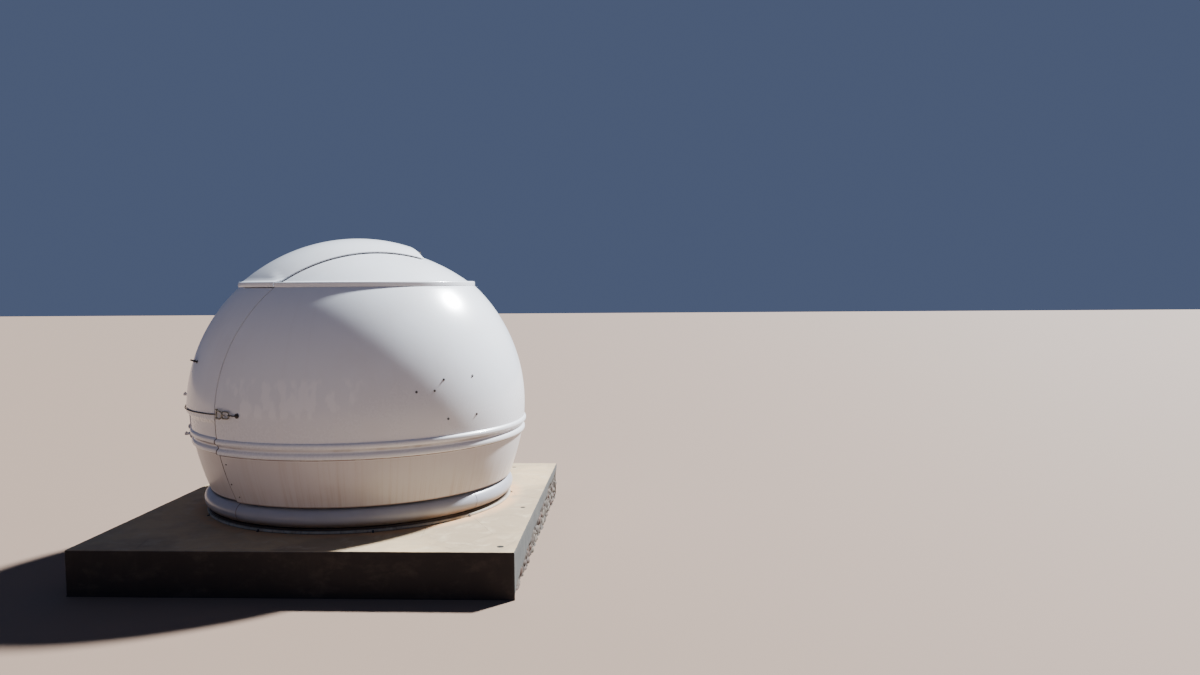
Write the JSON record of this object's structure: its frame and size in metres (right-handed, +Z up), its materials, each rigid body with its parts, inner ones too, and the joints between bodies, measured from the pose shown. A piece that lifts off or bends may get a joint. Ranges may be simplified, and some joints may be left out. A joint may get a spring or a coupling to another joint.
{
  "type": "small rotating observatory dome on a plinth",
  "caption": "Walk-in white observatory dome that turns on a half-round base ring, with a hinged front door panel, a hinged top hatch and a square concrete plinth.",
  "frame": {"origin": "middle of the underside of the square plinth", "axes": "+Z up, X and Y along the plinth's sides; at rest the door faces 143 degrees clockwise of +X, towards -X and -Y"},
  "size_m": [3.048, 3.076, 2.4717],
  "materials": {
    "gel_coat": "glossy white gel coat on glass fibre, streaked with brown below the ribs",
    "raw_glass_fibre": "uncoated pale glass fibre laminate",
    "screed_cement": "trowelled pale beige cement, stained",
    "rubble_concrete": "rough cast concrete and rubble, dark and stained",
    "galvanized_steel": "dull galvanized steel",
    "dark_steel": "dark weathered steel with rust",
    "roller_nylon": "black nylon wheel in a steel fork"
  },
  "bodies": {
    "base": {"plinth_core": "rubble_concrete", "plinth_screed": "screed_cement", "foot_ring_1": "gel_coat", "foot_ring_2": "gel_coat", "foot_ring_3": "gel_coat", "foot_ring_4": "gel_coat", "base_ring_1": "gel_coat", "base_ring_2": "gel_coat", "base_ring_3": "gel_coat", "base_ring_4": "gel_coat", "roller_1": "roller_nylon", "roller_2": "roller_nylon", "roller_3": "roller_nylon", "roller_4": "roller_nylon", "roller_5": "roller_nylon", "roller_6": "roller_nylon"},
    "dome": {"skirt_right_front": "gel_coat", "skirt_right_side": "gel_coat", "skirt_right_rear": "gel_coat", "skirt_left_rear": "gel_coat", "skirt_left_side": "gel_coat", "skirt_left_front": "gel_coat", "shell_right_front": "gel_coat", "shell_right_side": "gel_coat", "shell_right_rear": "gel_coat", "shell_left_rear": "gel_coat", "shell_left_side": "gel_coat", "shell_left_front": "gel_coat", "cap_right": "gel_coat", "cap_left": "gel_coat", "cap_rear": "gel_coat", "hatch_coaming": "raw_glass_fibre", "door_sill": "raw_glass_fibre", "door_stop_right": "raw_glass_fibre", "door_stop_left": "raw_glass_fibre", "door_hinge_bracket_lower": "galvanized_steel", "door_hinge_bracket_upper": "galvanized_steel", "hatch_hinge_cap_leaf_right": "galvanized_steel", "hatch_hinge_cap_leaf_left": "galvanized_steel", "eye_bolt": "dark_steel", "oval_link": "dark_steel"},
    "door": {"door_lower": "gel_coat", "door_upper": "gel_coat", "door_hinge_strap_lower": "galvanized_steel", "door_hinge_strap_upper": "galvanized_steel", "door_handle": "dark_steel", "lashing_shackle": "dark_steel", "lashing_wire_rope": "dark_steel", "lashing_anchor": "dark_steel"},
    "hatch": {"top_hatch": "gel_coat", "hatch_hinge_leaf_right": "galvanized_steel", "hatch_hinge_leaf_left": "galvanized_steel"}
  },
  "joints": [
    {"name": "dome_turn", "type": "hinge", "parent": "base", "child": "dome", "pos_m": [0.034, 0.099, 0.5], "axis": [0, 0, 1], "continuous": true},
    {"name": "door_swing", "type": "hinge", "parent": "dome", "child": "door", "pos_m": [-1.2789, -0.3012, 1], "axis": [0, 0, -1], "range_deg": [0, 110]},
    {"name": "hatch_lift", "type": "hinge", "parent": "dome", "child": "hatch", "pos_m": [0.33828, 0.32663, 2.36459], "axis": [-0.599, 0.8007, 0], "range_deg": [0, 105]}
  ]
}
